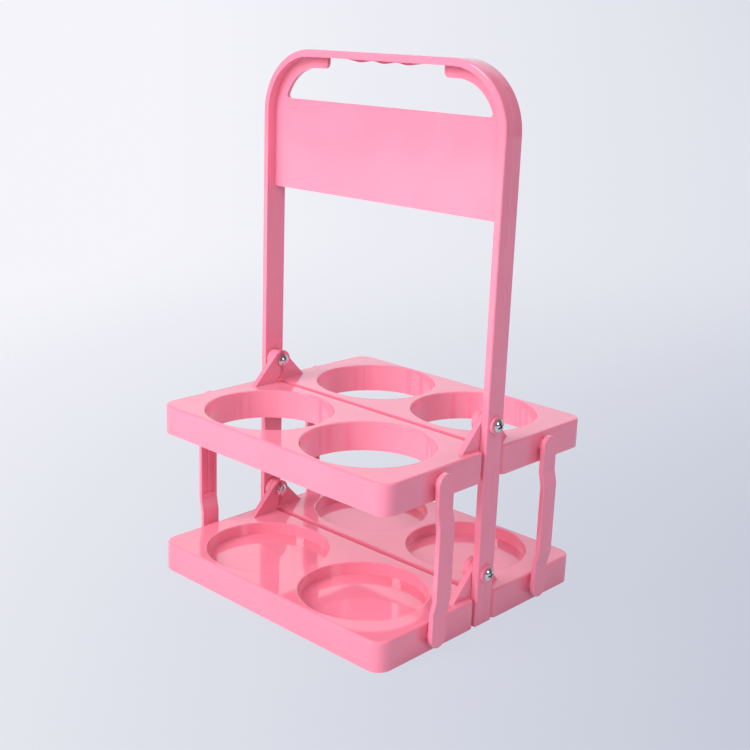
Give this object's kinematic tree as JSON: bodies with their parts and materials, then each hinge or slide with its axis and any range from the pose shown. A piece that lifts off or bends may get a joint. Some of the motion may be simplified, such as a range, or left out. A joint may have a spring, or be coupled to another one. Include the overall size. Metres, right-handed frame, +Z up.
{
  "type": "foldable drink carrier",
  "caption": "Two-storey folding drink carrier: an arched handle frame with hinged tray halves, cup holes above, cup seats below and side links that fold them together.",
  "frame": {"origin": "middle of the footprint on the surface that the carrier stands on", "axes": "+X to the right leg of the handle, +Y to the rear storey halves, +Z up"},
  "size_m": [0.2168, 0.1896, 0.3395],
  "materials": {
    "pink_plastic": "glossy moulded pink plastic",
    "screw_metal": "bright nickel-plated steel"
  },
  "bodies": {
    "carrier_frame": {"handle_frame": "pink_plastic", "pivot_screw_upper_left": "screw_metal", "pivot_screw_upper_right": "screw_metal", "pivot_screw_lower_left": "screw_metal", "pivot_screw_lower_right": "screw_metal", "pivot_nut_upper_left": "screw_metal", "pivot_nut_upper_right": "screw_metal", "pivot_nut_lower_left": "screw_metal", "pivot_nut_lower_right": "screw_metal"},
    "upper_front_half": {"upper_front_tray": "pink_plastic"},
    "lower_front_half": {"lower_front_tray": "pink_plastic"},
    "front_left_link": {"link_front_left": "pink_plastic"},
    "front_right_link": {"link_front_right": "pink_plastic"},
    "upper_rear_half": {"upper_rear_tray": "pink_plastic"},
    "lower_rear_half": {"lower_rear_tray": "pink_plastic"},
    "rear_left_link": {"link_rear_left": "pink_plastic"},
    "rear_right_link": {"link_rear_right": "pink_plastic"}
  },
  "joints": [
    {"name": "upper_front_fold", "type": "hinge", "parent": "carrier_frame", "child": "upper_front_half", "pos_m": [0, 0, 0.1299], "axis": [-1, 0, 0], "range_deg": [0, 90]},
    {"name": "lower_front_fold", "type": "hinge", "parent": "carrier_frame", "child": "lower_front_half", "pos_m": [0, 0, 0.0339], "axis": [-1, 0, 0], "range_deg": [0, 90]},
    {"name": "front_left_link_swing", "type": "hinge", "parent": "upper_front_half", "child": "front_left_link", "pos_m": [-0.1, -0.05, 0.1066], "axis": [1, 0, 0], "range_deg": [0, 90]},
    {"name": "front_right_link_swing", "type": "hinge", "parent": "upper_front_half", "child": "front_right_link", "pos_m": [0.1, -0.05, 0.1066], "axis": [1, 0, 0], "range_deg": [0, 90]},
    {"name": "upper_rear_fold", "type": "hinge", "parent": "carrier_frame", "child": "upper_rear_half", "pos_m": [0, 0, 0.1299], "axis": [1, 0, 0], "range_deg": [0, 90]},
    {"name": "lower_rear_fold", "type": "hinge", "parent": "carrier_frame", "child": "lower_rear_half", "pos_m": [0, 0, 0.0339], "axis": [1, 0, 0], "range_deg": [0, 90]},
    {"name": "rear_left_link_swing", "type": "hinge", "parent": "upper_rear_half", "child": "rear_left_link", "pos_m": [-0.1, 0.05, 0.1066], "axis": [-1, 0, 0], "range_deg": [0, 90]},
    {"name": "rear_right_link_swing", "type": "hinge", "parent": "upper_rear_half", "child": "rear_right_link", "pos_m": [0.1, 0.05, 0.1066], "axis": [-1, 0, 0], "range_deg": [0, 90]}
  ],
  "couplings": [
    {"joint": "lower_front_fold", "follows": "upper_front_fold", "ratio": 1},
    {"joint": "front_left_link_swing", "follows": "upper_front_fold", "ratio": 1},
    {"joint": "front_right_link_swing", "follows": "upper_front_fold", "ratio": 1},
    {"joint": "lower_rear_fold", "follows": "upper_rear_fold", "ratio": 1},
    {"joint": "rear_left_link_swing", "follows": "upper_rear_fold", "ratio": 1},
    {"joint": "rear_right_link_swing", "follows": "upper_rear_fold", "ratio": 1}
  ]
}
